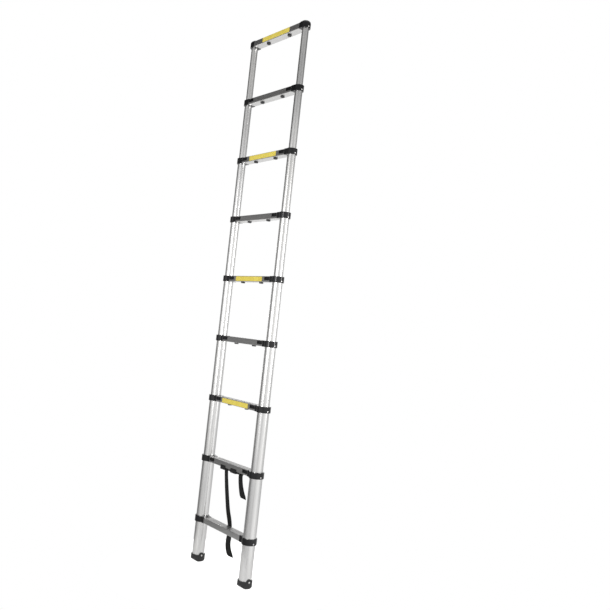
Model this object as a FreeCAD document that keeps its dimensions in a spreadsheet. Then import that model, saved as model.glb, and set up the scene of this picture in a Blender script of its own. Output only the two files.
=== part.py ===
"""Telescopic aluminium ladder, 2.6 m extended and 0.77 m closed.

Eight pairs of nested tubes carry nine rungs. Rungs 1 and 2 belong to the lowest tubes, and each
rung above sits on the top of its own pair. The frame's origin is on the floor midway between the
two feet: +X runs along the rungs, -Y is the side that is climbed, +Z is up. The ladder stands
upright, extended and locked. Lengths are millimetres.
"""
import FreeCAD, Part
import os
from math import cos, pi, radians, sin, tan

App = FreeCAD
Vector = App.Vector

SECTIONS = 8
RUNGS = 9
STRIP_RUNGS = (3, 5, 7, 9)

DIMENSIONS = {
    # rails
    "rail_spacing": (410, "between the tubes' axes"),
    "base_diameter": (60, "outside of the lowest tubes"),
    "diameter_step": (4, "less for each pair above"),
    "tube_wall": (1.2, "aluminium"),
    "tube_overlap": (90, "length of a tube that stays inside the one below"),
    "tube_seat": (10, "height of a tube's top end over its rung's middle"),
    # rungs
    "first_rung": (208, "height of rung 1's middle"),
    "rung_pitch": (298, "from rung to rung, extended"),
    "rung_depth": (44, "front to back"),
    "rung_height": (27, "top to bottom"),
    "rung_wall": (1.8, "aluminium extrusion"),
    "rung_corner": (2.5, "radius of the extrusion's long edges"),
    "rung_gap": (6, "from a tube's skin to the rung's end"),
    "rib_pitch": (7, "between the grooves in the tread"),
    "rib_groove": (2.6, "width of a groove in the tread"),
    "rib_depth": (0.8, "depth of a groove in the tread"),
    "line_width": (1.2, "of the two grooves along the front face"),
    "line_depth": (0.5, "of the two grooves along the front face"),
    "line_height": (6.5, "of each front groove from the rung's middle"),
    # collars
    "collar_height": (29, "joint blocks and clamps"),
    "collar_wall": (5, "plastic round a tube"),
    "collar_edge": (1.5, "radius of the ring's upper and lower edges"),
    "sleeve_wall": (1.5, "plastic in front of and behind a rung's end"),
    "sleeve_edge": (2.5, "radius of the sleeve's long edges"),
    "sleeve_reach": (10, "from the carrying tube's skin to a joint block's inner end"),
    "clamp_reach": (18, "from the lowest tube's skin to a clamp's inner end"),
    "plug_length": (24, "plastic inside a rung's end"),
    "plug_slack": (0.2, "round the plug"),
    "guide_slack": (0.3, "between a collar's lip and the tube that slides in it"),
    # windows, which are bosses of the joint blocks in cut-outs in the rungs' fronts
    "window_start": (14, "from the carrying tube's skin to the window's outer end"),
    "window_length": (39, "along the rung"),
    "window_height": (15.5, "on the front face"),
    "window_rise": (2.5, "from the rung's middle to the window's"),
    "window_corner": (2.5, "radius of the window's corners"),
    "window_proud": (0.7, "out of the front face"),
    "window_slack": (0.2, "round the window in its cut-out"),
    "pocket_length": (22, "shallow recess in the window's outer half"),
    "pocket_height": (9, "shallow recess in the window's outer half"),
    "pocket_margin": (3.5, "from the window's outer end to the recess"),
    "pocket_depth": (1, "shallow recess in the window's outer half"),
    "dimple_place": (7, "from the window's inner end to the dimple's middle"),
    "dimple_radius": (3, "round recess in the window's inner half"),
    "dimple_depth": (4, "round recess in the window's inner half"),
    "tongue_length": (49, "from the rung's end to the tongue's tip"),
    "tongue_depth": (3.5, "plastic behind the rung's front wall"),
    "tongue_margin": (1, "that the tongue is wider than the window, above and below"),
    # top caps
    "cap_radius": (23, "round the uppermost tubes"),
    "cap_reach": (25, "from a tube's axis to the cap's inner end"),
    "cap_corner": (6, "radius of the inner end's upright edges"),
    "cap_rise": (22, "over rung 9's middle"),
    "cap_dome": (14, "radius of the cap's top edge"),
    # latches
    "pin_radius": (4, "locking pin"),
    "pin_length": (40, "locking pin"),
    "pin_slack": (0.05, "between the pin and its bore"),
    "pin_gap": (0.4, "between the pin's end and the tube that it locks"),
    "hole_slack": (0.3, "between the pin and the holes in the tubes"),
    "rod_radius": (2.5, "from the pin to the spring"),
    "rod_end": (24, "inner end of the rod, from the rung's middle"),
    "seat_radius": (4.5, "shoulder that the spring presses on"),
    "seat_length": (3, "shoulder that the spring presses on"),
    "nose_radius": (1.9, "inside the spring"),
    "nose_length": (12, "inside the spring"),
    "latch_travel": (7, "that a thumb pulls a latch inwards"),
    "knob_place": (100, "from the rung's middle, less the carrying tube's radius"),
    "knob_radius": (10, "thumb knob"),
    "knob_depth": (6, "thumb knob"),
    "knob_edge": (1.2, "radius of the knob's lower edge"),
    "dish_radius": (6.5, "hollow in the knob's underside"),
    "dish_depth": (1.2, "hollow in the knob's underside"),
    "knob_slack": (0.3, "between the knob and the rung's underside"),
    "post_radius": (3.5, "from the rod down to the knob"),
    "post_slack": (0.5, "round the post in the rung's slot"),
    "spring_radius": (3.2, "to the middle of the wire"),
    "spring_wire": (0.45, "radius of the wire"),
    "spring_pitch": (5, "of the coils"),
    # slide bushes
    "bush_flange": (6, "below a tube's lower end"),
    "bush_spigot": (12, "inside a tube's lower end"),
    "bush_slack": (0.3, "between the bush and the tube that it slides in"),
    "bush_wall": (3, "of the spigot"),
    # grip strips
    "strip_length": (216, "along the rung"),
    "strip_height": (22, "on the front face"),
    "strip_depth": (1.2, "out of the front face"),
    # feet
    "foot_wall": (4.5, "rubber round the lowest tubes"),
    "foot_height": (33, "at the front and back"),
    "foot_floor": (15, "rubber under the tube"),
    "foot_edge": (8, "radius of the lower edge"),
    "rocker_radius": (40, "of the sole, from front to back"),
    "rocker_height": (38, "of the rocker's axis, which leaves the sole's middle flat"),
    "lobe_radius": (14, "of the raised sides that take the rivets"),
    "lobe_height": (31, "of the lobes' centres"),
    "tread_width": (4, "of the grooves in the sole"),
    "tread_depth": (1.5, "of the grooves in the sole"),
    "tread_pitch": (14, "between the grooves in the sole"),
    # strap
    "strap_width": (25, "webbing"),
    "strap_thickness": (1.8, "webbing"),
}

doc = App.newDocument("TelescopicLadder")
sheet = doc.addObject("Spreadsheet::Sheet", "Sheet")
for line, (alias, (value, note)) in enumerate(DIMENSIONS.items(), start=1):
    sheet.set(f"A{line}", note)
    sheet.set(f"B{line}", str(value))
    sheet.setAlias(f"B{line}", alias)
doc.recompute()

SIZE = {alias: float(sheet.get(alias)) for alias in DIMENSIONS}
ALONG_X = App.Rotation(Vector(0, 1, 0), 90)
ALONG_Y = App.Rotation(Vector(1, 0, 0), -90)
ACROSS = "Sheet.rail_spacing / 2"
ARC_STEPS = 6
PARTS = []


# ---- expressions that several sub-parts share ----

def tube_radius(section):
    """Outside radius of a section's tubes."""
    return f"(Sheet.base_diameter - {section - 1} * Sheet.diameter_step) / 2"


def rung_z(rung):
    """Height of a rung's middle."""
    return f"(Sheet.first_rung + {rung - 1} * Sheet.rung_pitch)"


def carrier(rung):
    """The section whose tubes carry a rung."""
    return max(rung - 1, 1)


def tube_bottom(section):
    """Height of a tube's lower end."""
    if section == 1:
        return "Sheet.foot_floor"
    return f"({rung_z(section)} - Sheet.tube_overlap)"


# ---- building blocks ----

def bind(kind, name, sizes, at=("0", "0", "0"), rotation=None):
    """A Part primitive with its sizes and its place bound to expressions."""
    thing = doc.addObject(kind, name)
    for size, expression in sizes.items():
        thing.setExpression(size, expression)
    if rotation:
        thing.Placement.Rotation = rotation
    for axis, expression in zip("xyz", at):
        thing.setExpression(f".Placement.Base.{axis}", expression)
    return thing


def upright(name, radius, height, at):
    """A cylinder that stands on the point at."""
    return bind("Part::Cylinder", name, {"Radius": radius, "Height": height}, at)


def lying(name, radius, length, at):
    """A cylinder that starts at the point at and runs along +X."""
    return bind("Part::Cylinder", name, {"Radius": radius, "Height": length}, at, ALONG_X)


def block(name, length, depth, height, low_x, z, y="0"):
    """A box from low_x along +X, with its depth centred on y and its height centred on z."""
    sizes = {"Length": length, "Width": depth, "Height": height}
    at = (low_x, f"{y} - ({depth}) / 2", f"{z} - ({height}) / 2")
    return bind("Part::Box", name, sizes, at)


def fuse(name, pieces):
    joined = doc.addObject("Part::MultiFuse", name)
    joined.Shapes = pieces
    return joined


def cut(name, base, tools):
    less = doc.addObject("Part::Cut", name)
    less.Base = base
    less.Tool = tools[0] if len(tools) == 1 else fuse(name + "_tools", tools)
    return less


def common(name, first, second):
    shared = doc.addObject("Part::Common", name)
    shared.Base, shared.Tool = first, second
    return shared


def rounded(name, base, radius, wanted):
    """The edges of base that wanted picks out, rounded."""
    doc.recompute()
    numbers = [i for i, edge in enumerate(base.Shape.Edges, start=1) if wanted(edge)]
    fillet = doc.addObject("Part::Fillet", name)
    fillet.Base = base
    fillet.Edges = [(i, SIZE[radius], SIZE[radius]) for i in numbers]
    return fillet


def runs_along(direction):
    """Picks out the straight edges that run along a direction."""
    def wanted(edge):
        run = edge.Vertexes[-1].Point.sub(edge.Vertexes[0].Point)
        return run.Length > 1 and run.cross(direction).Length < 1e-6
    return wanted


def is_level(edge):
    """Picks out the edges that lie in a horizontal plane."""
    heights = [vertex.Z for vertex in edge.Vertexes]
    return max(heights) - min(heights) < 1e-4


def lies_at(height):
    """Picks out the edges that lie in the horizontal plane at a height."""
    return lambda edge: all(abs(v.Z - height) < 1e-4 for v in edge.Vertexes)


def keep(label, thing):
    """Names a sub-part and puts it on the list that is written out."""
    thing.Label = label
    PARTS.append(thing)
    return thing


def pair(label, right):
    """A sub-part made of the piece at +X and its mirror image at -X."""
    left = doc.addObject("Part::Mirroring", right.Name + "_mirrored")
    left.Source = right
    left.Normal = Vector(1, 0, 0)
    both = doc.addObject("Part::Compound", right.Name + "_pair")
    both.Links = [right, left]
    return keep(label, both)


# ---- rails ----

def tubes(section):
    """Two drawn tubes. A hole near the top lets the latch pin through, and one near the bottom
    is what the pin of the section below locks into."""
    name = f"tube_{section}"
    bottom = tube_bottom(section)
    height = f"{rung_z(section + 1)} + Sheet.tube_seat - {bottom}"
    skin = upright(name + "_skin", tube_radius(section), height, (ACROSS, "0", bottom))
    inside = f"{tube_radius(section)} - Sheet.tube_wall"
    hollow = [upright(name + "_bore", inside, height, (ACROSS, "0", bottom))]
    for rung in (section, section + 1):
        if 2 <= rung < RUNGS:
            start = f"{ACROSS} - Sheet.base_diameter"
            at = (start, "0", rung_z(rung))
            radius = "Sheet.pin_radius + Sheet.hole_slack"
            hollow.append(lying(f"{name}_hole_{rung}", radius, "Sheet.base_diameter", at))
    pair(f"section_{section}_tubes", cut(name, skin, hollow))


def slide_bushes(section):
    """Plastic plugs in a pair's lower ends, which centre it in the pair below."""
    name = f"bush_{section}"
    bottom = tube_bottom(section)
    flange = f"{tube_radius(section - 1)} - Sheet.tube_wall - Sheet.bush_slack"
    spigot = f"{tube_radius(section)} - Sheet.tube_wall"
    at = (ACROSS, "0", f"{bottom} - Sheet.bush_flange")
    height = "Sheet.bush_flange + Sheet.bush_spigot"
    solid = fuse(name + "_solid", [
        upright(name + "_flange", flange, "Sheet.bush_flange", at),
        upright(name + "_spigot", spigot, height, at),
    ])
    bore = upright(name + "_bore", f"{spigot} - Sheet.bush_wall", height, at)
    pair(f"section_{section}_slide_bushes", cut(name, solid, [bore]))


# ---- rungs ----

def rung_end(rung):
    """X of a rung's right-hand end."""
    return f"({ACROSS} - {tube_radius(carrier(rung))} - Sheet.rung_gap)"


def knob_x(rung):
    return f"(Sheet.knob_place - {tube_radius(carrier(rung))})"


def window_low(rung):
    """X of the right-hand window's inner end."""
    gone = f"{tube_radius(carrier(rung))} - Sheet.window_start - Sheet.window_length"
    return f"({ACROSS} - {gone})"


def window_opening(name, number, low_x):
    """The hole for a window in a rung's front wall."""
    hole = block(name, "Sheet.window_length + 2 * Sheet.window_slack", "4 * Sheet.rung_wall",
                 "Sheet.window_height + 2 * Sheet.window_slack", low_x,
                 f"({rung_z(number)} + Sheet.window_rise)", "-Sheet.rung_depth / 2")
    return rounded(name + "_corners", hole, "window_corner", runs_along(Vector(0, 1, 0)))


def rung(number):
    """A hollow extrusion with grooves along its tread and its front, and, where it has latches,
    two slots in its underside for their knobs and two openings in its front for the windows."""
    name = f"rung_{number}"
    end, z = rung_end(number), rung_z(number)
    length, low = f"2 * {end}", f"-{end}"
    bar = block(name + "_bar", length, "Sheet.rung_depth", "Sheet.rung_height", low, z)
    bar = rounded(name + "_edges", bar, "rung_corner", runs_along(Vector(1, 0, 0)))
    hollow_depth = "Sheet.rung_depth - 2 * Sheet.rung_wall"
    hollow_height = "Sheet.rung_height - 2 * Sheet.rung_wall"
    gone = [block(name + "_hollow", length, hollow_depth, hollow_height, low, z)]
    for i in range(-2, 3):
        top, y = f"{z} + Sheet.rung_height / 2", f"{i} * Sheet.rib_pitch"
        depth = "2 * Sheet.rib_depth"
        gone.append(block(f"{name}_rib_{i + 3}", length, "Sheet.rib_groove", depth, low, top, y))
    for side, sign in (("upper", "+"), ("lower", "-")):
        height, y = f"{z} {sign} Sheet.line_height", "-Sheet.rung_depth / 2"
        depth = "2 * Sheet.line_depth"
        gone.append(block(f"{name}_{side}_line", length, depth, "Sheet.line_width", low, height, y))
    if 2 <= number < RUNGS:
        reach = "Sheet.post_radius + Sheet.post_slack"
        slot = (f"2 * ({reach}) + Sheet.latch_travel", f"2 * ({reach})", "4 * Sheet.rung_wall")
        bottom = f"{z} - Sheet.rung_height / 2"
        right = f"{knob_x(number)} - ({reach}) - Sheet.latch_travel"
        gone.append(block(f"{name}_slot_right", *slot, right, bottom))
        gone.append(block(f"{name}_slot_left", *slot, f"-{knob_x(number)} - ({reach})", bottom))
        inner = window_low(number)
        right = f"{inner} - Sheet.window_slack"
        left = f"-({inner} + Sheet.window_length) - Sheet.window_slack"
        gone.append(window_opening(f"{name}_opening_right", number, right))
        gone.append(window_opening(f"{name}_opening_left", number, left))
    return cut(name, bar, gone)


def grip_strip(number):
    """A plastic strip on a rung's front face."""
    front = "-(Sheet.rung_depth + Sheet.strip_depth) / 2"
    strip = block(f"strip_{number}", "Sheet.strip_length", "Sheet.strip_depth",
                  "Sheet.strip_height", "-Sheet.strip_length / 2", rung_z(number), front)
    keep(f"rung_{number}_grip_strip", strip)


# ---- collars ----

def sleeve(name, number, reach):
    """The part of a collar that runs inwards over a rung's end."""
    depth = "Sheet.rung_depth + 2 * Sheet.sleeve_wall"
    low = f"{ACROSS} - {reach}"
    body = block(name + "_sleeve", reach, depth, "Sheet.collar_height", low, rung_z(number))
    return rounded(name + "_sleeve_edges", body, "sleeve_edge", runs_along(Vector(1, 0, 0)))


def socket(name, number, reach):
    """The space that a rung's end fills."""
    low = f"{ACROSS} - {reach}"
    length = f"{rung_end(number)} - ({low})"
    return block(name + "_socket", length, "Sheet.rung_depth", "Sheet.rung_height", low,
                 rung_z(number))


def plug(name, number):
    """The part of a collar that goes inside a rung's end."""
    around = "2 * Sheet.rung_wall - 2 * Sheet.plug_slack"
    low = f"{rung_end(number)} - Sheet.plug_length"
    return block(name + "_plug", "Sheet.plug_length", f"Sheet.rung_depth - {around}",
                 f"Sheet.rung_height - {around}", low, rung_z(number))


def ring_round(name, number):
    """The ring of a collar, round the tube that carries the rung."""
    radius = f"{tube_radius(carrier(number))} + Sheet.collar_wall"
    low = f"{rung_z(number)} - Sheet.collar_height / 2"
    ring = upright(name + "_ring", radius, "Sheet.collar_height", (ACROSS, "0", low))
    return rounded(name + "_ring_edges", ring, "collar_edge", is_level)


def collar(name, number, beyond_skin, inner_pieces, holes):
    """A ring round a tube, with a sleeve over a rung's end and pieces inside that end."""
    reach = f"({tube_radius(carrier(number))} + {beyond_skin})"
    solid = fuse(name + "_solid", [ring_round(name, number), sleeve(name, number, reach)])
    shell = cut(name + "_shell", solid, [socket(name, number, reach)])
    filled = fuse(name + "_filled", [shell, plug(name, number)] + inner_pieces)
    return cut(name, filled, holes)


def clamps():
    """Rung 1's collars, which grip the lowest tubes half way up."""
    name = "clamp"
    low = f"{rung_z(1)} - Sheet.collar_height / 2"
    hole = upright(name + "_hole", tube_radius(1), "Sheet.collar_height", (ACROSS, "0", low))
    pair("rung_1_clamps", collar(name, 1, "Sheet.clamp_reach", [], [hole]))


def window(name, number):
    """The boss that fills an opening in a rung's front, and the tongue that carries it from the
    plug."""
    height = f"({rung_z(number)} + Sheet.window_rise)"
    skin = "(Sheet.rung_depth / 2 - Sheet.rung_wall - Sheet.plug_slack)"
    back = f"({skin} - Sheet.tongue_depth)"
    front = "(Sheet.rung_depth / 2 + Sheet.window_proud)"
    boss = block(name + "_boss", "Sheet.window_length", f"{front} - {back}",
                 "Sheet.window_height", window_low(number), height, f"-({front} + {back}) / 2")
    tongue = block(name + "_tongue", "Sheet.tongue_length", "Sheet.tongue_depth",
                   "Sheet.window_height + 2 * Sheet.tongue_margin",
                   f"{rung_end(number)} - Sheet.tongue_length", height, f"-({skin} + {back}) / 2")
    return [rounded(name + "_corners", boss, "window_corner", runs_along(Vector(0, 1, 0))), tongue]


def window_recesses(name, number):
    """A shallow pocket and a round dimple in the window's face."""
    height = f"({rung_z(number)} + Sheet.window_rise)"
    front = "(Sheet.rung_depth / 2 + Sheet.window_proud)"
    outer = f"{window_low(number)} + Sheet.window_length - Sheet.pocket_margin"
    pocket = block(name + "_pocket", "Sheet.pocket_length", "2 * Sheet.pocket_depth",
                   "Sheet.pocket_height", f"{outer} - Sheet.pocket_length", height, f"-{front}")
    sizes = {"Radius": "Sheet.dimple_radius", "Height": "Sheet.dimple_depth"}
    at = (f"{window_low(number)} + Sheet.dimple_place", f"-{front}", height)
    return [pocket, bind("Part::Cylinder", name + "_dimple", sizes, at, ALONG_Y)]


def joint_blocks(number):
    """Collars on the top ends of a section's tubes. Each one's lip guides the next tube, its bore
    guides a latch pin, and its window shows in the rung's front."""
    name = f"block_{number}"
    z = rung_z(number)
    low = f"{z} - Sheet.collar_height / 2"
    seat = "Sheet.collar_height / 2 + Sheet.tube_seat"
    guide = f"{tube_radius(number)} + Sheet.guide_slack"
    bore_start = f"{ACROSS} - {tube_radius(carrier(number))} - Sheet.rung_gap - Sheet.plug_length"
    bore = "Sheet.pin_radius + Sheet.pin_slack"
    holes = [
        upright(name + "_seat", tube_radius(carrier(number)), seat, (ACROSS, "0", low)),
        upright(name + "_guide", guide, "Sheet.collar_height", (ACROSS, "0", low)),
        lying(name + "_bore", bore, f"{ACROSS} - ({bore_start})", (bore_start, "0", z)),
    ]
    holes += window_recesses(name + "_window", number)
    inner_pieces = window(name + "_window", number)
    pair(f"rung_{number}_joints", collar(name, number, "Sheet.sleeve_reach", inner_pieces, holes))


def top_caps():
    """Domed caps that close the uppermost tubes and hold rung 9."""
    name = "cap"
    z = rung_z(RUNGS)
    low = f"{z} - Sheet.collar_height / 2"
    height = "Sheet.collar_height / 2 + Sheet.cap_rise"
    middle = f"{z} + (Sheet.cap_rise - Sheet.collar_height / 2) / 2"
    arm = block(name + "_arm", "Sheet.cap_reach", "2 * Sheet.cap_radius", height,
                f"{ACROSS} - Sheet.cap_reach", middle)
    inner_end = SIZE["rail_spacing"] / 2 - SIZE["cap_reach"]
    is_upright = runs_along(Vector(0, 0, 1))
    arm = rounded(name + "_arm_corners", arm, "cap_corner",
                  lambda edge: is_upright(edge) and edge.Vertexes[0].X < inner_end + 1)
    round_end = upright(name + "_round", "Sheet.cap_radius", height, (ACROSS, "0", low))
    solid = fuse(name + "_solid", [round_end, arm])
    solid.Refine = True
    top = SIZE["first_rung"] + (RUNGS - 1) * SIZE["rung_pitch"] + SIZE["cap_rise"]
    dome = rounded(name + "_dome", solid, "cap_dome", lies_at(top))
    shell = cut(name + "_shell", dome, [socket(name, RUNGS, "Sheet.cap_reach")])
    filled = fuse(name + "_filled", [shell, plug(name, RUNGS)])
    depth = "Sheet.collar_height / 2 + Sheet.tube_seat"
    hole = upright(name + "_hole", tube_radius(SECTIONS), depth, (ACROSS, "0", low))
    pair("top_caps", cut(name, filled, [hole]))


# ---- latches ----

def latch_right(number):
    """Locking pin, rod, spring seat and thumb knob in one piece. The pin ends just short of the
    sliding tube."""
    name = f"latch_{number}"
    z, knob = rung_z(number), knob_x(number)
    tip = f"({ACROSS} - {tube_radius(number)} - Sheet.pin_gap)"
    pin_start = f"({tip} - Sheet.pin_length)"
    seat_start = "Sheet.rod_end"
    nose_start = "Sheet.rod_end - Sheet.nose_length"
    underside = f"({z} - Sheet.rung_height / 2 - Sheet.knob_slack)"
    disc = upright(name + "_disc", "Sheet.knob_radius", "Sheet.knob_depth",
                   (knob, "0", f"{underside} - Sheet.knob_depth"))
    low = SIZE["first_rung"] + (number - 1) * SIZE["rung_pitch"]
    low -= SIZE["rung_height"] / 2 + SIZE["knob_slack"] + SIZE["knob_depth"]
    dish = upright(name + "_dish", "Sheet.dish_radius", "Sheet.dish_depth",
                   (knob, "0", f"{underside} - Sheet.knob_depth"))
    edged = rounded(name + "_knob_edge", disc, "knob_edge", lies_at(low))
    return fuse(name, [
        lying(name + "_pin", "Sheet.pin_radius", "Sheet.pin_length", (pin_start, "0", z)),
        lying(name + "_rod", "Sheet.rod_radius", f"{pin_start} - Sheet.rod_end",
              (seat_start, "0", z)),
        lying(name + "_seat", "Sheet.seat_radius", "Sheet.seat_length", (seat_start, "0", z)),
        lying(name + "_nose", "Sheet.nose_radius", "Sheet.nose_length", (nose_start, "0", z)),
        upright(name + "_post", "Sheet.post_radius", f"{z} - ({underside})",
                (knob, "0", underside)),
        cut(name + "_knob", edged, [dish]),
    ])


def latches(number):
    """The two latches of a rung, which move apart from each other, so each is a sub-part."""
    right = latch_right(number)
    left = doc.addObject("Part::Mirroring", right.Name + "_mirrored")
    left.Source = right
    left.Normal = Vector(1, 0, 0)
    keep(f"rung_{number}_latch_right", right)
    keep(f"rung_{number}_latch_left", left)


def latch_spring(number):
    """One compression spring between a rung's two latches."""
    name = f"spring_{number}"
    coil = bind("Part::Helix", name + "_coil", {
        "Radius": "Sheet.spring_radius",
        "Pitch": "Sheet.spring_pitch",
        "Height": "2 * (Sheet.rod_end - Sheet.spring_wire)",
    })
    wire = bind("Part::Circle", name + "_wire", {"Radius": "Sheet.spring_wire"},
                ("Sheet.spring_radius", "0", "0"), App.Rotation(Vector(1, 0, 0), 90))
    sweep = doc.addObject("Part::Sweep", name)
    sweep.Sections = [wire]
    sweep.Spine = (coil, ["Edge1"])
    sweep.Solid = True
    sweep.Frenet = True
    sweep.Placement.Rotation = ALONG_X
    sweep.setExpression(".Placement.Base.x", "Sheet.spring_wire - Sheet.rod_end")
    sweep.setExpression(".Placement.Base.z", rung_z(number))
    keep(f"rung_{number}_latch_spring", sweep)


# ---- feet ----

def feet():
    """Rubber shoes with a raised lobe on each side and grooves across the sole, which curves up
    to the front and the back."""
    name = "foot"
    outside = "Sheet.base_diameter / 2 + Sheet.foot_wall"
    shoe = upright(name + "_shoe", outside, "Sheet.foot_height", (ACROSS, "0", "0"))
    shoe = rounded(name + "_edge", shoe, "foot_edge", lies_at(0))
    tall = upright(name + "_tall", outside, "Sheet.lobe_height + Sheet.lobe_radius",
                   (ACROSS, "0", "0"))
    start = f"{ACROSS} - ({outside})"
    roll = lying(name + "_roll", "Sheet.lobe_radius", f"2 * ({outside})",
                 (start, "0", "Sheet.lobe_height"))
    lobes = common(name + "_lobes", tall, roll)
    rocker = lying(name + "_rocker", "Sheet.rocker_radius", f"2 * ({outside})",
                   (start, "0", "Sheet.rocker_height"))
    rubber = common(name + "_rubber", fuse(name + "_whole", [shoe, lobes]), rocker)
    gone = [upright(name + "_hole", "Sheet.base_diameter / 2", "Sheet.base_diameter",
                    (ACROSS, "0", "Sheet.foot_floor"))]
    for i in (-1, 0, 1):
        gone.append(block(f"{name}_tread_{i + 2}", f"2 * ({outside})", "Sheet.tread_width",
                          "2 * Sheet.tread_depth", start, "0", f"{i} * Sheet.tread_pitch"))
    pair("feet", cut(name, rubber, gone))


# ---- strap ----

# Routes of the webbing's middle line, from under rung 2 to each free end, and the angle from +X
# of its width at each point, in degrees. The long tail goes behind rung 1 and curls at its end.
LONG_TAIL = [
    ((-23, -12, 491.5), 6),
    ((-25.5, -7.5, 462), 6),
    ((-26, -1.5, 427), 9),
    ((-23, 5, 379), 12),
    ((-20, 13.5, 326), 14),
    ((-17.5, 20.7, 285), 18),
    ((-9.5, 26, 253), 20),
    ((-1.5, 28.5, 225), 16),
    ((2, 29, 197), 14),
    ((-1, 31, 166), 28),
    ((-7.5, 33, 140), 48),
    ((-6.5, 35.5, 115), 52),
    ((2, 37.5, 95), 51),
    ((13, 39, 82), 46),
    ((27, 40, 73), 20),
]
SHORT_TAIL = [
    ((95.5, 19.3, 491.2), 4),
    ((96.5, -11, 491.2), 10),
    ((100.5, -11, 460.6), 16),
    ((99.2, -5.5, 437), 20),
    ((99.5, 0.3, 415), 28),
    ((105.5, 4, 393), 36),
    ((113, 6.2, 380.5), 38),
    ((121, 7.3, 372), 38),
]


def tangent_route(points):
    """Straight runs joined by tangent arcs, each as large as its two runs allow. Returns the
    edges, and the arcs' radii."""
    edges, radii, start = [], [], points[0]
    for before, corner, after in zip(points, points[1:], points[2:]):
        back, ahead = before.sub(corner), after.sub(corner)
        reach = 0.45 * min(back.Length, ahead.Length)
        back.normalize()
        ahead.normalize()
        radius = reach / tan((pi - back.getAngle(ahead)) / 2)
        inward = (back + ahead).normalize()
        first, last = corner + back * reach, corner + ahead * reach
        middle = corner + inward * ((radius ** 2 + reach ** 2) ** 0.5 - radius)
        edges.append(Part.LineSegment(start, first).toShape())
        edges.append(Part.Arc(first, middle, last).toShape())
        radii.append(radius)
        start = last
    edges.append(Part.LineSegment(start, points[-1]).toShape())
    return edges, radii


def between(keys, distance):
    """The angle at a distance along a route, from (distance, angle) keys."""
    for (low, first), (high, last) in zip(keys, keys[1:]):
        if distance <= high:
            return first + (last - first) * (distance - low) / (high - low)
    return keys[-1][1]


def section_of_webbing(point, tangent, angle):
    """The webbing's rectangle across its route, with its width turned to an angle from +X."""
    width = Vector(cos(radians(angle)), sin(radians(angle)), 0)
    width = (width - tangent * width.dot(tangent)).normalize() * (SIZE["strap_width"] / 2)
    thick = tangent.cross(width).normalize() * (SIZE["strap_thickness"] / 2)
    corners = [width + thick, thick - width, -width - thick, width - thick, width + thick]
    return Part.makePolygon([point + corner for corner in corners])


def ribbon(label, route):
    """A tail of webbing along its route."""
    edges, radii = tangent_route([Vector(*point) for point, angle in route])
    keys, stations, travelled = [(0, route[0][1])], [], 0
    corner_angles = [angle for point, angle in route[1:-1]]
    for number, edge in enumerate(edges):
        is_arc = number % 2 == 1
        steps = ARC_STEPS if is_arc else 1
        if is_arc:
            keys.append((travelled + edge.Length / 2, corner_angles[number // 2]))
        for step in range(steps):
            along = edge.Length * step / steps
            stations.append((travelled + along, edge, edge.getParameterByLength(along)))
        travelled += edge.Length
    stations.append((travelled, edges[-1], edges[-1].LastParameter))
    keys.append((travelled, route[-1][1]))
    sections = [
        section_of_webbing(edge.valueAt(at), edge.tangentAt(at), between(keys, distance))
        for distance, edge, at in stations
    ]
    tail = doc.addObject("Part::Feature", label)
    tail.Shape = Part.makeLoft(sections, True, True)
    expected = travelled * SIZE["strap_width"] * SIZE["strap_thickness"]
    print(f"{label}: {travelled:.0f} mm long, radii {[round(r) for r in radii]}, "
          f"volume {tail.Shape.Volume / expected:.3f} of its section times its length")
    keep(label, tail)


# ---- the ladder ----

for section in range(1, SECTIONS + 1):
    tubes(section)
for section in range(2, SECTIONS + 1):
    slide_bushes(section)
both_fixed = doc.addObject("Part::Compound", "base_rungs")
both_fixed.Links = [rung(1), rung(2)]
keep("base_rungs", both_fixed)
for number in range(3, RUNGS + 1):
    keep(f"rung_{number}", rung(number))
for number in STRIP_RUNGS:
    grip_strip(number)
clamps()
for number in range(2, RUNGS):
    joint_blocks(number)
    latches(number)
    latch_spring(number)
top_caps()
feet()
ribbon("strap_long_tail", LONG_TAIL)
ribbon("strap_short_tail", SHORT_TAIL)

doc.recompute()
for thing in doc.Objects:
    if {"Invalid", "Error"} & set(thing.State):
        raise RuntimeError(f"{thing.Label} failed: {thing.State}")
os.makedirs("parts", exist_ok=True)
for thing in PARTS:
    if thing.Shape.isNull() or not thing.Shape.isValid():
        raise RuntimeError(f"{thing.Label} has no valid shape")
    thing.Shape.exportStep(f"parts/{thing.Label}.step")
print(f"{len(PARTS)} sub-parts written")
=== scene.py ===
"""The looks of the telescopic ladder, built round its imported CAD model.

Lengths are metres in the CAD model's frame: +X runs along the rungs, -Y is the side that is
climbed, +Z is up. The tubes, rungs, collars, latches and feet are the CAD solids with better
materials. The strap and its guides, the screws and rivets, the springs' halves and rung 9's two
fixed knobs are made here.
"""
import bmesh
import bpy
from math import atan2, cos, pi, radians, sin
from mathutils import Matrix, Vector


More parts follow.
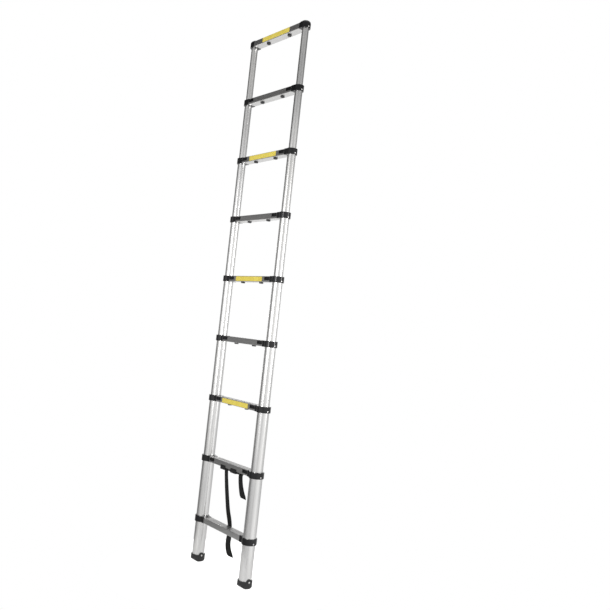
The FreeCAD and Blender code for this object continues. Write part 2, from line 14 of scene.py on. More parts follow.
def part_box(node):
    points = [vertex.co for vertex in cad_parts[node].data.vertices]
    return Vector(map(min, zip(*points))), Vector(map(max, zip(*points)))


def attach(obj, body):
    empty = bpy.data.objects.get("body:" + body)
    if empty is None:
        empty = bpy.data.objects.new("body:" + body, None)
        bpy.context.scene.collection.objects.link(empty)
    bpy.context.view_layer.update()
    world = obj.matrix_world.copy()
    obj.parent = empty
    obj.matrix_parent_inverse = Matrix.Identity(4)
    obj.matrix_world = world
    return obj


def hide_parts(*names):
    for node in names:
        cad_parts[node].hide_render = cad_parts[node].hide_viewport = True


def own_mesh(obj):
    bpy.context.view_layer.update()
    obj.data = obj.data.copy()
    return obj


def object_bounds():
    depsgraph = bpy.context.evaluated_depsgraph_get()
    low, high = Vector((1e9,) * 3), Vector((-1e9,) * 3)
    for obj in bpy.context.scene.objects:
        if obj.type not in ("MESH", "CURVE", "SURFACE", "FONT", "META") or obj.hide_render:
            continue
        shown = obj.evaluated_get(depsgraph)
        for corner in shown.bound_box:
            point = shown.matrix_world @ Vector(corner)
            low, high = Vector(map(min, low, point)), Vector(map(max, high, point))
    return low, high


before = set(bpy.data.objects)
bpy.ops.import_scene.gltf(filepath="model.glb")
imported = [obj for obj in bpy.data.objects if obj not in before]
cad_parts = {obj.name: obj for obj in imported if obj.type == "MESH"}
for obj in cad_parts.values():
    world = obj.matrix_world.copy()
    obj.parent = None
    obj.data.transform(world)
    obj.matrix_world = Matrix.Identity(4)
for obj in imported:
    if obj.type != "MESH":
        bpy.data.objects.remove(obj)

cad_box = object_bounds()
SCENE = bpy.context.scene
MM = 0.001


# ---- places, read from the CAD parts ----

RUNGS = range(1, 10)
STRIP_RUNGS = (3, 5, 7, 9)


def middle(node):
    low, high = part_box(node)
    return (low + high) / 2


def size(node):
    low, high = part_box(node)
    return high - low


RAIL_X = middle("feet").x + (size("feet").x - size("feet").y) / 2
RUNG_1_Z = middle("rung_1_clamps").z
RUNG_PITCH = middle("rung_2_joints").z - RUNG_1_Z
RUNG_HEIGHT = size("rung_3").z
RUNG_DEPTH = size("rung_4").y


def rung_z(rung):
    return RUNG_1_Z + (rung - 1) * RUNG_PITCH


def rung_body(rung):
    return "base" if rung <= 2 else f"section_{rung - 1}"


# ---- camera ----

CAMERA_AZIMUTH = radians(51.12)
CAMERA_ELEVATION = radians(-2.28)
CAMERA_ROLL = radians(6.18)
CAMERA_DISTANCE = 3.586
CAMERA_RIGHT = 0.263
CAMERA_UP = -0.030
LOOK_AT = Vector((0, 0, 1.306))
LENS = 44.09


def add_camera():
    back = Vector((sin(CAMERA_AZIMUTH) * cos(CAMERA_ELEVATION),
                   -cos(CAMERA_AZIMUTH) * cos(CAMERA_ELEVATION),
                   sin(CAMERA_ELEVATION)))
    level_right = (-back).cross(Vector((0, 0, 1))).normalized()
    level_up = level_right.cross(-back)
    right = level_right * cos(CAMERA_ROLL) + level_up * sin(CAMERA_ROLL)
    up = level_up * cos(CAMERA_ROLL) - level_right * sin(CAMERA_ROLL)
    place = LOOK_AT + back * CAMERA_DISTANCE + right * CAMERA_RIGHT + up * CAMERA_UP
    data = bpy.data.cameras.new("camera")
    data.lens = LENS
    data.sensor_width = 36
    camera = bpy.data.objects.new("camera", data)
    camera.matrix_world = Matrix.Translation(place) @ Matrix((right, up, back)).transposed().to_4x4()
    SCENE.collection.objects.link(camera)
    SCENE.camera = camera


add_camera()


# ---- shader helpers ----

def node(tree, kind, inputs=None, **settings):
    """A shader node. A value in inputs is another node's output or a constant."""
    made = tree.nodes.new("ShaderNode" + kind)
    for name, value in settings.items():
        setattr(made, name, value)
    for name, value in (inputs or {}).items():
        if isinstance(value, bpy.types.NodeSocket):
            tree.links.new(value, made.inputs[name])
        else:
            made.inputs[name].default_value = value
    return made


def math(tree, operation, first, second=0.0, third=0.0):
    made = node(tree, "Math", {0: first, 1: second, 2: third}, operation=operation)
    return made.outputs[0]


def stretched(tree, scale):
    """Object coordinates, scaled separately along each axis."""
    at = node(tree, "TexCoord").outputs["Object"]
    return node(tree, "Mapping", {"Vector": at, "Scale": scale}).outputs[0]


def noise(tree, vector, scale=1.0, detail=3.0, roughness=0.55):
    made = node(tree, "TexNoise", {"Vector": vector, "Scale": scale, "Detail": detail,
                                   "Roughness": roughness})
    return made.outputs["Fac"]


def between(tree, value, low, high, start=0.35, end=0.65):
    """value, from start to end, mapped to low to high."""
    made = node(tree, "MapRange", {"Value": value, "From Min": start, "From Max": end,
                                   "To Min": low, "To Max": high})
    return made.outputs[0]


def blend(tree, share, first, second, mode="MIX"):
    """Two colours mixed."""
    made = node(tree, "Mix", data_type="RGBA", blend_type=mode)
    for name, value in ((0, share), (6, first), (7, second)):
        if isinstance(value, bpy.types.NodeSocket):
            tree.links.new(value, made.inputs[name])
        else:
            made.inputs[name].default_value = value
    return made.outputs[2]


def grey(level, tint=(1, 1, 1)):
    return (level * tint[0], level * tint[1], level * tint[2], 1)


def material(name, **constants):
    made = bpy.data.materials.new(name)
    made.use_nodes = True
    shader = made.node_tree.nodes["Principled BSDF"]
    for socket, value in constants.items():
        shader.inputs[socket.replace("_", " ")].default_value = value
    return made, made.node_tree, shader


def bump(tree, shader, height, strength, distance):
    made = node(tree, "Bump", {"Height": height, "Strength": strength, "Distance": distance})
    tree.links.new(made.outputs[0], shader.inputs["Normal"])


# ---- materials ----

def drawn_aluminium(name, along, level, gloss):
    """Satin anodised aluminium with fine lines along the direction that it was drawn in, soft
    clouds, and short rubbed marks."""
    made, tree, shader = material(name, Metallic=1.0)
    fine = [900, 900, 900]
    fine[along] = 4
    soft = [25, 25, 25]
    soft[along] = 3
    rubbed = [60, 60, 60]
    rubbed[along] = 260
    lines = noise(tree, stretched(tree, fine), detail=2)
    clouds = noise(tree, stretched(tree, soft), detail=4)
    marks = noise(tree, stretched(tree, rubbed), detail=5, roughness=0.7)
    worn = between(tree, marks, 0, 1, 0.62, 0.74)
    base = blend(tree, between(tree, clouds, 0, 1), grey(level * 0.95, (1.005, 1, 0.995)),
                 grey(level, (1.01, 1, 0.98)))
    base = blend(tree, between(tree, lines, 0, 0.35), base, grey(level * 0.86))
    base = blend(tree, math(tree, "MULTIPLY", worn, 0.3), base, grey(min(1, level * 1.1)))
    tree.links.new(base, shader.inputs["Base Color"])
    rough = math(tree, "ADD", between(tree, clouds, gloss - 0.03, gloss + 0.04),
                 between(tree, lines, -0.03, 0.05))
    rough = math(tree, "ADD", rough, math(tree, "MULTIPLY", worn, 0.08))
    tree.links.new(rough, shader.inputs["Roughness"])
    bump(tree, shader, lines, 0.12, 0.0002)
    return made


def moulded_plastic(name, colour, gloss, grain=0.10, specular=0.5):
    """Glass-filled nylon: a fine spark-eroded grain, flow clouds, and scuffs that are lighter."""
    made, tree, shader = material(name, IOR=1.5, Specular_IOR_Level=specular)
    at = stretched(tree, (1, 1, 1))
    sparks = noise(tree, at, 1400, detail=2)
    clouds = noise(tree, at, 22, detail=4)
    scuffs = noise(tree, stretched(tree, (320, 320, 60)), detail=6, roughness=0.75)
    scuffed = between(tree, scuffs, 0, 1, 0.64, 0.78)
    dark = tuple(0.75 * c for c in colour[:3]) + (1,)
    base = blend(tree, between(tree, clouds, 0, 1), dark, colour)
    base = blend(tree, math(tree, "MULTIPLY", scuffed, 0.4), base, grey(0.09))
    tree.links.new(base, shader.inputs["Base Color"])
    rough = math(tree, "ADD", between(tree, clouds, gloss - 0.05, gloss + 0.06),
                 math(tree, "MULTIPLY", scuffed, 0.25))
    tree.links.new(rough, shader.inputs["Roughness"])
    bump(tree, shader, sparks, grain, 0.00015)
    return made


def ribbed_yellow(name):
    """Safety-yellow plastic with fine ribs along the strip, painted shade in the grooves between them,
    and dirt and wear.
    """
    made, tree, shader = material(name, IOR=1.5)
    at = node(tree, "TexCoord").outputs["Object"]
    height = node(tree, "SeparateXYZ", {0: at}).outputs["Z"]
    rib_pitch = 1.6 * MM
    ribs = math(tree, "SINE", math(tree, "MULTIPLY", height, 2 * pi / rib_pitch))
    clouds = noise(tree, at, 30, detail=5)
    grains = noise(tree, at, 1100, detail=2)
    dirt = between(tree, noise(tree, stretched(tree, (40, 200, 260)), detail=6, roughness=0.7),
                   0, 1, 0.55, 0.75)
    base = blend(tree, between(tree, clouds, 0, 1), (0.85, 0.69, 0.11, 1), (0.93, 0.77, 0.15, 1))
    # The grooves between the ribs get a darker yellow: painted shade.
    groove = between(tree, ribs, 0.25, 0, -1, 0.2)
    base = blend(tree, groove, base, (0.66, 0.52, 0.07, 1))
    base = blend(tree, math(tree, "MULTIPLY", dirt, 0.12), base, (0.45, 0.35, 0.12, 1))
    tree.links.new(base, shader.inputs["Base Color"])
    tree.links.new(between(tree, clouds, 0.42, 0.58), shader.inputs["Roughness"])
    relief = math(tree, "ADD", math(tree, "MULTIPLY", ribs, 0.5), math(tree, "MULTIPLY", grains, 0.3))
    bump(tree, shader, relief, 0.25, 0.0003)
    return made


def rubber(name):
    """Black rubber: matt, cloudy with bloom, dusty towards the floor."""
    made, tree, shader = material(name, IOR=1.5)
    at = node(tree, "TexCoord").outputs["Object"]
    height = node(tree, "SeparateXYZ", {0: at}).outputs["Z"]
    grains = noise(tree, at, 900, detail=3)
    clouds = noise(tree, at, 45, detail=5, roughness=0.65)
    dust = math(tree, "MULTIPLY", between(tree, height, 1, 0, 0, 12 * MM),
                between(tree, clouds, 0.2, 1))
    base = blend(tree, between(tree, clouds, 0, 1), grey(0.010), grey(0.022, (1, 1, 1.05)))
    base = blend(tree, math(tree, "MULTIPLY", dust, 0.35), base, grey(0.10, (1, 0.96, 0.9)))
    tree.links.new(base, shader.inputs["Base Color"])
    tree.links.new(between(tree, clouds, 0.38, 0.62), shader.inputs["Roughness"])
    bump(tree, shader, grains, 0.2, 0.0003)
    return made


def plated_steel(name, level, gloss):
    """Zinc plating: faintly blue and gold clouds over a fine grain."""
    made, tree, shader = material(name, Metallic=1.0)
    at = node(tree, "TexCoord").outputs["Object"]
    clouds = noise(tree, at, 260, detail=4)
    grains = noise(tree, at, 2400, detail=2)
    base = blend(tree, between(tree, clouds, 0, 1), grey(level, (0.97, 0.99, 1.04)),
                 grey(level, (1.03, 1.0, 0.93)))
    tree.links.new(base, shader.inputs["Base Color"])
    tree.links.new(between(tree, grains, gloss - 0.06, gloss + 0.08), shader.inputs["Roughness"])
    bump(tree, shader, grains, 0.1, 0.00008)
    return made


WEAVE_MAP = "weave"


def woven_polyester(name):
    """Webbing: ribs along its length, picks across it, and a few paler fibres."""
    made, tree, shader = material(name, IOR=1.4, Sheen_Weight=0.04, Sheen_Roughness=0.4)
    along_across = node(tree, "UVMap", uv_map=WEAVE_MAP).outputs[0]
    split = node(tree, "SeparateXYZ", {0: along_across})
    pick, rib = 1.1 * MM, 1.5 * MM
    half = math(tree, "FLOOR", math(tree, "DIVIDE", split.outputs["Y"], rib))
    shift = math(tree, "MULTIPLY", half, pi)
    picks = math(tree, "SINE", math(tree, "ADD", shift,
                                    math(tree, "MULTIPLY", split.outputs["X"], 2 * pi / pick)))
    ribs = math(tree, "ABSOLUTE",
                math(tree, "SINE", math(tree, "MULTIPLY", split.outputs["Y"], pi / rib)))
    weave = math(tree, "MULTIPLY", ribs, math(tree, "ADD", 1.0, math(tree, "MULTIPLY", picks, 0.5)))
    at = node(tree, "TexCoord").outputs["Object"]
    fibres = noise(tree, at, 2200, detail=3)
    clouds = noise(tree, at, 40, detail=4)
    # The weave's hollows get a darker base colour: painted shade.
    base = blend(tree, between(tree, weave, 0, 1, 0, 1.4), grey(0.002), grey(0.009, (1, 1, 1.04)))
    base = blend(tree, between(tree, clouds, 0, 0.5), base, grey(0.006))
    base = blend(tree, between(tree, fibres, 0, 0.25, 0.6, 0.75), base, grey(0.04))
    tree.links.new(base, shader.inputs["Base Color"])
    tree.links.new(between(tree, fibres, 0.62, 0.82), shader.inputs["Roughness"])
    bump(tree, shader, weave, 0.6, 0.0004)
    return made


TUBE_METAL = drawn_aluminium("tube_aluminium", 2, 0.80, 0.27)
RUNG_METAL = drawn_aluminium("rung_aluminium", 0, 0.62, 0.32)
COLLAR_PLASTIC = moulded_plastic("black_plastic", (0.012, 0.012, 0.013, 1), 0.12, specular=0.4)
LATCH_PLASTIC = moulded_plastic("latch_plastic", (0.014, 0.014, 0.015, 1), 0.36)
BUSH_PLASTIC = moulded_plastic("bush_plastic", (0.05, 0.05, 0.05, 1), 0.45)
YELLOW = ribbed_yellow("yellow_plastic")
RUBBER = rubber("black_rubber")
STEEL = plated_steel("spring_steel", 0.72, 0.28)
WEBBING = woven_polyester("webbing")

FINISHES = (
    ("_tubes", TUBE_METAL),
    ("_bushes", BUSH_PLASTIC),
    ("_grip_strip", YELLOW),
    ("_joints", COLLAR_PLASTIC),
    ("_clamps", COLLAR_PLASTIC),
    ("top_caps", COLLAR_PLASTIC),
    ("_latch_left", LATCH_PLASTIC),
    ("_latch_right", LATCH_PLASTIC),
    ("_latch_spring", STEEL),
    ("feet", RUBBER),
    ("_tail", WEBBING),
    ("rung", RUNG_METAL),
)


def finish_cad_nodes():
    for name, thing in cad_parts.items():
        finish = next(look for part, look in FINISHES if part in name)
        thing.data.materials.clear()
        thing.data.materials.append(finish)


finish_cad_nodes()


# ---- mesh helpers ----

def add_piece(name, mesh, look, body):
    """An object for a mesh, which rides on a body. The mesh lies where the piece is."""
    piece = bpy.data.objects.new(name, mesh)
    SCENE.collection.objects.link(piece)
    mesh.materials.append(look)
    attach(piece, body)
    return piece


def grid_mesh(name, rings, smooth=True):
    """A skin over rings of points, each ring closed, with caps at both ends."""
    mesh = bpy.data.meshes.new(name)
    count = len(rings[0])
    points = [point for ring in rings for point in ring]
    faces = []
    for i in range(len(rings) - 1):
        for j in range(count):
            k = (j + 1) % count
            faces.append((i * count + j, i * count + k, (i + 1) * count + k, (i + 1) * count + j))
    faces.append(tuple(reversed(range(count))))
    faces.append(tuple(range((len(rings) - 1) * count, len(rings) * count)))
    mesh.from_pydata(points, [], faces)
    mesh.validate()
    if smooth:
        mesh.shade_smooth()
    return mesh


def turned(profile, place, axis, steps=32, outline=None):
    """A solid turned round an axis through place. profile is (radius, height) from the middle of
    the underside to the middle of the top. outline(angle, ring) scales a ring's radius."""
    axis = Vector(axis).normalized()
    side = axis.orthogonal().normalized()
    other = axis.cross(side)
    rings = []
    for number, (radius, height) in enumerate(profile):
        ring = []
        for step in range(steps):
            angle = 2 * pi * step / steps
            reach = radius * (outline(angle, number) if outline else 1)
            ring.append(Vector(place) + axis * height + (side * cos(angle) + other * sin(angle)) * reach)
        rings.append(ring)
    return rings


# ---- the strap ----

STRAP_WIDTH = 25 * MM
STRAP_THICKNESS = 1.8 * MM

# Each tail's route from under rung 2 to its free end, and the angle from +X of its width at each
# point, in degrees. The last point of each is a few millimetres off the CAD's route.
LONG_TAIL = [
    ((-0.023, -0.012, 0.4915), 6),
    ((-0.0255, -0.0075, 0.462), 6),
    ((-0.026, -0.0015, 0.427), 9),
    ((-0.023, 0.005, 0.379), 12),
    ((-0.02, 0.0135, 0.326), 14),
    ((-0.0175, 0.0207, 0.285), 18),
    ((-0.0095, 0.026, 0.253), 20),
    ((-0.0015, 0.0285, 0.225), 16),
    ((0.002, 0.029, 0.197), 14),
    ((-0.001, 0.031, 0.166), 28),
    ((-0.0075, 0.033, 0.14), 48),
    ((-0.0065, 0.0355, 0.115), 52),
    ((0.002, 0.0375, 0.095), 51),
    ((0.013, 0.039, 0.082), 46),
    ((0.022, 0.04, 0.068), 20),
]
SHORT_TAIL = [
    ((0.0955, 0.0193, 0.4912), 4),
    ((0.0965, -0.011, 0.4912), 10),
    ((0.1005, -0.011, 0.4606), 16),
    ((0.0992, -0.0055, 0.437), 20),
    ((0.0995, 0.0003, 0.415), 28),
    ((0.1055, 0.004, 0.393), 36),
    ((0.113, 0.0062, 0.3805), 38),
    ((0.1165, 0.007, 0.3685), 38),
]


def smooth_line(name, points):
    """The points that Blender gives along a NURBS spline with these control points."""
    curve = bpy.data.curves.new(name, "CURVE")
    curve.dimensions = "3D"
    spline = curve.splines.new("NURBS")
    spline.points.add(len(points) - 1)
    for control, point in zip(spline.points, points):
        control.co = (*point, 1)
    spline.order_u = 3
    spline.use_endpoint_u = True
    spline.resolution_u = 10
    holder = bpy.data.objects.new(name, curve)
    mesh = bpy.data.meshes.new_from_object(holder)
    line = [vertex.co.copy() for vertex in mesh.vertices]
    bpy.data.objects.remove(holder)
    bpy.data.meshes.remove(mesh)
    return line


def webbing_outline():
    """Half across and half through the webbing, round its section: flat faces and round edges."""
    half_width, half_thickness = STRAP_WIDTH / 2, STRAP_THICKNESS / 2
    flat = half_width - half_thickness
    across = [flat * (1 - i / 5) for i in range(11)]
    outline = [(x, half_thickness) for x in across]
    outline += [(-flat - half_thickness * sin(pi * i / 6), half_thickness * cos(pi * i / 6))
                for i in range(1, 6)]
    outline += [(-x, -half_thickness) for x in across]
    outline += [(flat + half_thickness * sin(pi * i / 6), -half_thickness * cos(pi * i / 6))
                for i in range(1, 6)]
    return outline


def strap_tail(node_name, route, tip_slant):
    """A tail of webbing. Its width follows a second spline beside its route, and its free end is
    cut at a slant and sealed."""
    centre = smooth_line(node_name + "_line", [point for point, angle in route])
    beside = smooth_line(node_name + "_side", [
        Vector(point) + Vector((cos(radians(angle)), sin(radians(angle)), 0)) * STRAP_WIDTH
        for point, angle in route
    ])
    outline = webbing_outline()
    rings, travelled, distances = [], 0, []
    for i, point in enumerate(centre):
        before, after = centre[max(i - 1, 0)], centre[min(i + 1, len(centre) - 1)]
        tangent = (after - before).normalized()
        width = beside[i] - point
        width = (width - tangent * width.dot(tangent)).normalized()
        through = tangent.cross(width)
        travelled += (point - centre[max(i - 1, 0)]).length
        distances.append(travelled)
        left = (centre[-1] - point).length
        lean = tip_slant * max(0, 1 - left / (1.5 * STRAP_WIDTH))
        rings.append([point + width * x + through * y + tangent * (lean * (x - STRAP_WIDTH / 2))
                      for x, y in outline])
    mesh = grid_mesh(node_name + "_webbing", rings)
    weave = mesh.uv_layers.new(name=WEAVE_MAP)
    for loop in mesh.loops:
        ring, place = divmod(loop.vertex_index, len(outline))
        weave.data[loop.index].uv = (distances[ring], outline[place][0])
    piece = add_piece(node_name + "_webbing", mesh, WEBBING, "base")
    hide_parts(node_name)
    return piece


strap_tail("strap_long_tail", LONG_TAIL, 0.8)
strap_tail("strap_short_tail", SHORT_TAIL, 0.6)


# ---- studio ----

def ramp(tree, position, stops):
    """A colour ramp through (position, level) stops."""
    made = node(tree, "ValToRGB", {0: position})
    elements = made.color_ramp.elements
    while len(elements) < len(stops):
        elements.new(0.5)
    for element, (place, level) in zip(elements, stops):
        element.position = place
        element.color = grey(level)
    return made.outputs[0]


# Brightness round the ladder, by degrees from the camera's direction, positive to its right: two
# wide white screens beside the camera, dark wings beyond the left one, a pale wall behind.
SCREENS = (
    (-180, 1.5), (-165, 1.25), (-150, 0.5), (-130, 0.22), (-88, 0.20), (-74, 1.0), (-17, 1.0),
    (-4, 0.66), (6, 0.72), (17, 1.0), (70, 1.0), (92, 0.55), (145, 0.6), (165, 1.25), (180, 1.5),
)
# The same below the screens' lower edges, where the left one fades out before the right one.
BELOW_SCREENS = (
    (-180, 1.2), (-165, 1.0), (-150, 0.5), (-130, 0.30), (-100, 0.26), (-70, 0.5), (-30, 0.72),
    (0, 0.84), (30, 1.15), (60, 1.35), (100, 1.1), (145, 0.7), (165, 1.0), (180, 1.2),
)
# The sines of the elevation between which one blends into the other.
SCREEN_EDGE = (-0.24, -0.08)
# Brightness by the sine of the elevation: the screens' height, a dark band above them and a
# bright ceiling.
HEIGHTS = (
    (-1.0, 1.3), (-0.5, 1.0), (-0.25, 0.72), (-0.14, 0.8), (-0.05, 1.15), (0.1, 1.2), (0.17, 1.0),
    (0.25, 0.58), (0.32, 0.26), (0.5, 0.34), (0.7, 0.9), (1.0, 1.3),
)


def light_studio():
    world = bpy.data.worlds.new("studio")
    world.use_nodes = True
    SCENE.world = world
    tree = world.node_tree
    direction = node(tree, "TexCoord").outputs["Generated"]
    split = node(tree, "SeparateXYZ", {0: direction})
    azimuth = math(tree, "ARCTAN2", split.outputs["Y"], split.outputs["X"])
    # the camera's direction is at -90 degrees plus its azimuth, counted from +X
    turned_by = (CAMERA_AZIMUTH - pi / 2) / (2 * pi)
    share = math(tree, "FRACT", math(tree, "ADD", math(tree, "DIVIDE", azimuth, 2 * pi),
                                     1.5 - turned_by))
    above, below = (ramp(tree, share, [((angle + 180) / 360, level) for angle, level in levels])
                    for levels in (SCREENS, BELOW_SCREENS))
    around = blend(tree, between(tree, split.outputs["Z"], 0, 1, *SCREEN_EDGE), below, above)
    rise = math(tree, "MULTIPLY_ADD", split.outputs["Z"], 0.5, 0.5)
    upward = ramp(tree, rise, [((z + 1) / 2, level) for z, level in HEIGHTS])
    seen = node(tree, "LightPath").outputs["Is Camera Ray"]
    studio = blend(tree, 1.0, around, upward, "MULTIPLY")
    background = tree.nodes["Background"]
    tree.links.new(blend(tree, seen, studio, grey(1.0)), background.inputs["Color"])


SOFTBOX_DISTANCE = 2.2
SOFTBOX_LOW = 0.8
SOFTBOX_HIGH = 2.05
BOARD_RADIUS = 0.55


def softbox(name, angle, width, power):
    """An upright lamp panel at an angle from the camera's direction, positive to its right."""
    turn = CAMERA_AZIMUTH + angle
    data = bpy.data.lights.new(name, "AREA")
    data.shape = "RECTANGLE"
    data.size = width
    data.size_y = SOFTBOX_HIGH - SOFTBOX_LOW
    data.energy = power
    lamp = bpy.data.objects.new(name, data)
    lamp.location = (sin(turn) * SOFTBOX_DISTANCE, -cos(turn) * SOFTBOX_DISTANCE,
                     (SOFTBOX_LOW + SOFTBOX_HIGH) / 2)
    lamp.rotation_euler = (pi / 2, 0, turn)
    lamp.visible_camera = False
    SCENE.collection.objects.link(lamp)


def floor():
    """A round sheet of pale board under the ladder."""
    low, high = cad_box
    centre = (low + high) / 2
    rings = turned([(0.001, -0.004), (BOARD_RADIUS, -0.004), (BOARD_RADIUS, -0.0005), (0.001, -0.0005)],
                   (centre.x, centre.y, low.z), (0, 0, 1), steps=96)
    mesh = grid_mesh("floor", rings, smooth=False)
    made, tree, shader = material("pale_board", Roughness=0.6, Emission_Color=grey(1.0))
    grains = noise(tree, stretched(tree, (1, 1, 1)), 300)
    tree.links.new(blend(tree, grains, grey(0.58), grey(0.62)), shader.inputs["Base Color"])
    seen = node(tree, "LightPath").outputs["Is Camera Ray"]
    tree.links.new(between(tree, seen, 0.25, 1.0, 0, 1), shader.inputs["Emission Strength"])
    mesh.materials.append(made)
    board = bpy.data.objects.new("floor", mesh)
    SCENE.collection.objects.link(board)


SCENE.view_settings.view_transform = "Standard"
light_studio()
softbox("left_softbox", radians(-32), width=0.30, power=17)
softbox("right_softbox", radians(66), width=0.38, power=17)
floor()


# ---- trim ----

KNOB_RADIUS = 10 * MM
FIXED_KNOB_X = 84 * MM
SCREW_HEAD = 3.6 * MM
SCREW_RISE = 7.5 * MM
LOBE_TOP_TO_RIVET = 14 * MM
STRIP_END_TO_RIVET = 13 * MM
FOOT_RIVET_RADIUS = 4.2 * MM
STRIP_RIVET_RADIUS = 3.2 * MM
HEX_RING = 4


def hex_key(angle, ring):
    """Makes the ring where a screw's recess starts six-sided."""
    if ring < HEX_RING:
        return 1
    corner = pi / 3
    return cos(corner / 2) / cos((angle % corner) - corner / 2)


def screw(name, place, axis, body):
    """A button-head screw with a hexagon socket."""
    r = SCREW_HEAD
    profile = [(0.4 * r, -0.5 * MM), (r, -0.5 * MM), (r, 0.35 * MM), (0.72 * r, 1.35 * MM),
               (0.42 * r, 1.6 * MM), (0.40 * r, 0.6 * MM), (0.02 * r, 0.5 * MM)]
    mesh = grid_mesh(name, turned(profile, place, axis, 24, hex_key), smooth=False)
    return add_piece(name, mesh, STEEL, body)


def rivet(name, place, axis, body, radius=FOOT_RIVET_RADIUS, look=STEEL):
    """A pop rivet's domed head with the dimple that its mandrel leaves."""
    r = radius
    profile = [(0.5 * r, -0.4 * MM), (r, -0.4 * MM), (r, 0.2 * MM), (0.9 * r, 0.7 * MM),
               (0.62 * r, 1.15 * MM), (0.34 * r, 1.3 * MM), (0.3 * r, 0.7 * MM), (0.02 * r, 0.6 * MM)]
    mesh = grid_mesh(name, turned(profile, place, axis, 28))
    return add_piece(name, mesh, look, body)


def side_name(side):
    return "right" if side > 0 else "left"


def collar_screws():
    """One screw in the outer side of each collar and cap, near its lower edge."""
    for rung in RUNGS:
        collar = "rung_1_clamps" if rung == 1 else "top_caps" if rung == 9 else f"rung_{rung}_joints"
        low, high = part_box(collar)
        for side in (-1, 1):
            place = (side * (high.x - 0.1 * MM), 0, low.z + SCREW_RISE)
            screw(f"rung_{rung}_screw_{side_name(side)}", place, (side, 0, 0), rung_body(rung))


def foot_rivets():
    """A rivet through each lobe of the feet."""
    outside = size("feet").y / 2
    lobe_z = size("feet").z - LOBE_TOP_TO_RIVET
    for side in (-1, 1):
        for face in (-1, 1):
            place = (side * RAIL_X + face * (outside - 0.1 * MM), 0, lobe_z)
            where = "outer" if face == side else "inner"
            rivet(f"foot_rivet_{side_name(side)}_{where}", place, (face, 0, 0), "base")


def strip_rivets():
    """Two rivets that hold each yellow strip on its rung."""
    for rung in STRIP_RUNGS:
        low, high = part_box(f"rung_{rung}_grip_strip")
        for side in (-1, 1):
            place = (side * (high.x - STRIP_END_TO_RIVET), low.y, (low.z + high.z) / 2)
            rivet(f"rung_{rung}_strip_rivet_{side_name(side)}", place, (0, -1, 0), rung_body(rung),
                  STRIP_RIVET_RADIUS, YELLOW)


def fixed_knobs():
    """Rung 9's knobs look like the others and have nothing to release."""
    top = rung_z(9) - RUNG_HEIGHT / 2
    # radius as a share of the knob's, and depth below the rung, from the top to the dish
    outline = ((0.35, -0.2), (0.35, 0.3), (1.0, 0.3), (1.0, 5.1), (0.965, 5.75), (0.88, 6.3),
               (0.66, 6.3), (0.65, 5.2), (0.02, 5.1))
    for side in (-1, 1):
        place = (side * FIXED_KNOB_X, 0, top)
        profile = [(share * KNOB_RADIUS, depth * MM) for share, depth in outline]
        mesh = grid_mesh("knob", turned(profile, place, (0, 0, -1), 40))
        add_piece(f"rung_9_knob_{side_name(side)}", mesh, LATCH_PLASTIC, rung_body(9))


# The strap's guides: where each one starts and ends along rung 2, and their outline across it,
# from the rung's front face and its underside. They hook under the rung's front edge.
GUIDES = (("left", -58 * MM, -20 * MM), ("right", 28 * MM, 73 * MM))
GUIDE_OUTLINE = ((-3, 10), (-3, -10.5), (9.5, -10.5), (9.5, -0.2), (7, -0.2), (7, -8.2), (-0.1, -8.2),
                 (-0.1, 10))
GUIDE_EDGE = 0.6 * MM
BAND_START = -57 * MM
BAND_END = 98 * MM


def rung_2_front_edge():
    """The lower edge of rung 2's front face."""
    return Vector((0, -RUNG_DEPTH / 2, rung_z(2) - RUNG_HEIGHT / 2))


def strap_guides():
    """Two moulded hooks under rung 2 that the strap runs through."""
    corner = rung_2_front_edge()
    for name, start, end in GUIDES:
        rings = [[corner + Vector((x, y * MM, z * MM)) for y, z in GUIDE_OUTLINE] for x in (start, end)]
        mesh = grid_mesh(f"strap_guide_{name}", rings, smooth=False)
        form = bmesh.new()
        form.from_mesh(mesh)
        bmesh.ops.bevel(form, geom=form.edges[:], offset=GUIDE_EDGE, segments=3, affect="EDGES",
                        profile=0.5)
        form.to_mesh(mesh)
        form.free()
        add_piece(f"strap_guide_{name}", mesh, LATCH_PLASTIC, "base")


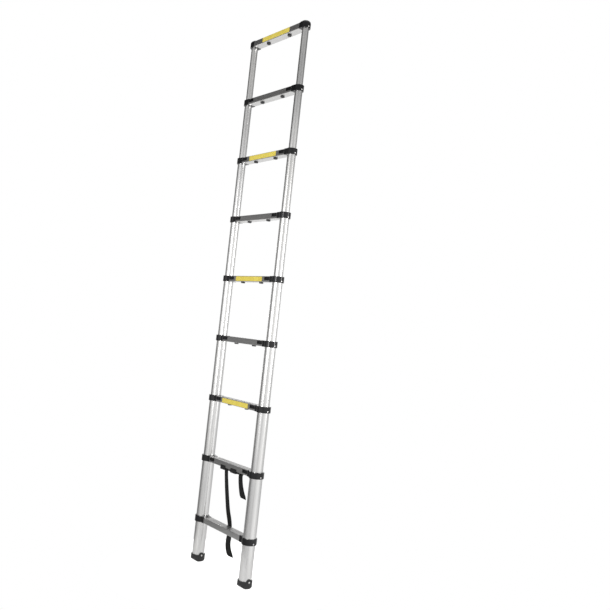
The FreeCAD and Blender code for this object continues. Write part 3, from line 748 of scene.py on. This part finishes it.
def strap_band():
    """The stretch of webbing inside the guides, folded lengthwise and standing on its edge."""
    corner = rung_2_front_edge()
    half_height, half_depth, groove = 3.8 * MM, 1.8 * MM, 0.7 * MM
    middle_y, middle_z = 2.3 * MM, -4.2 * MM
    steps, stations = 28, 32
    rings = []
    for i in range(stations + 1):
        x = BAND_START + (BAND_END - BAND_START) * i / stations
        sway = 0.25 * MM * sin(i * 0.9)
        ring = []
        for step in range(steps):
            angle = 2 * pi * step / steps
            up, out = sin(angle), cos(angle)
            depth = half_depth * (abs(out) ** 0.5) * (1 if out > 0 else -1)
            height = half_height * (abs(up) ** 0.5) * (1 if up > 0 else -1)
            if up < 0:
                height += groove * max(0, 1 - abs(depth) / (0.5 * half_depth))
            ring.append(corner + Vector((x, middle_y + depth, middle_z + height + sway)))
        rings.append(ring)
    mesh = grid_mesh("strap_band", rings)
    weave = mesh.uv_layers.new(name=WEAVE_MAP)
    for loop in mesh.loops:
        ring, place = divmod(loop.vertex_index, steps)
        weave.data[loop.index].uv = (mesh.vertices[loop.vertex_index].co.x,
                                     place * STRAP_WIDTH / steps)
    add_piece("strap_band", mesh, WEBBING, "base")


def half_spring(rung, side, wire_steps=8):
    """One half of the spring between a rung's latches, from the rung's middle to one latch."""
    node_name = f"rung_{rung}_latch_spring"
    low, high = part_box(node_name)
    wire = 0.45 * MM
    radius = (high.y - low.y) / 2 - wire
    reach = high.x - wire
    turns = 4.5
    steps = int(turns * 20)
    rings = []
    slope = atan2(reach, 2 * pi * radius * turns)
    for step in range(steps + 1):
        share = step / steps
        angle = 2 * pi * turns * share
        spoke = Vector((0, cos(angle), sin(angle)))
        round_way = Vector((0, -sin(angle), cos(angle)))
        tangent = (round_way * cos(slope) + Vector((side, 0, 0)) * sin(slope)).normalized()
        through = tangent.cross(spoke)
        point = Vector((side * reach * share, 0, rung_z(rung))) + spoke * radius
        rings.append([point + (spoke * cos(2 * pi * k / wire_steps) +
                               through * sin(2 * pi * k / wire_steps)) * wire
                      for k in range(wire_steps)])
    name = f"rung_{rung}_spring_{side_name(side)}"
    mesh = grid_mesh(name, rings)
    piece = add_piece(name, mesh, STEEL, rung_body(rung))
    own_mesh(piece)
    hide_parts(node_name)


collar_screws()
foot_rivets()
strip_rivets()
fixed_knobs()
strap_guides()
strap_band()
for latched_rung in range(2, 9):
    for latch_side in (-1, 1):
        half_spring(latched_rung, latch_side)
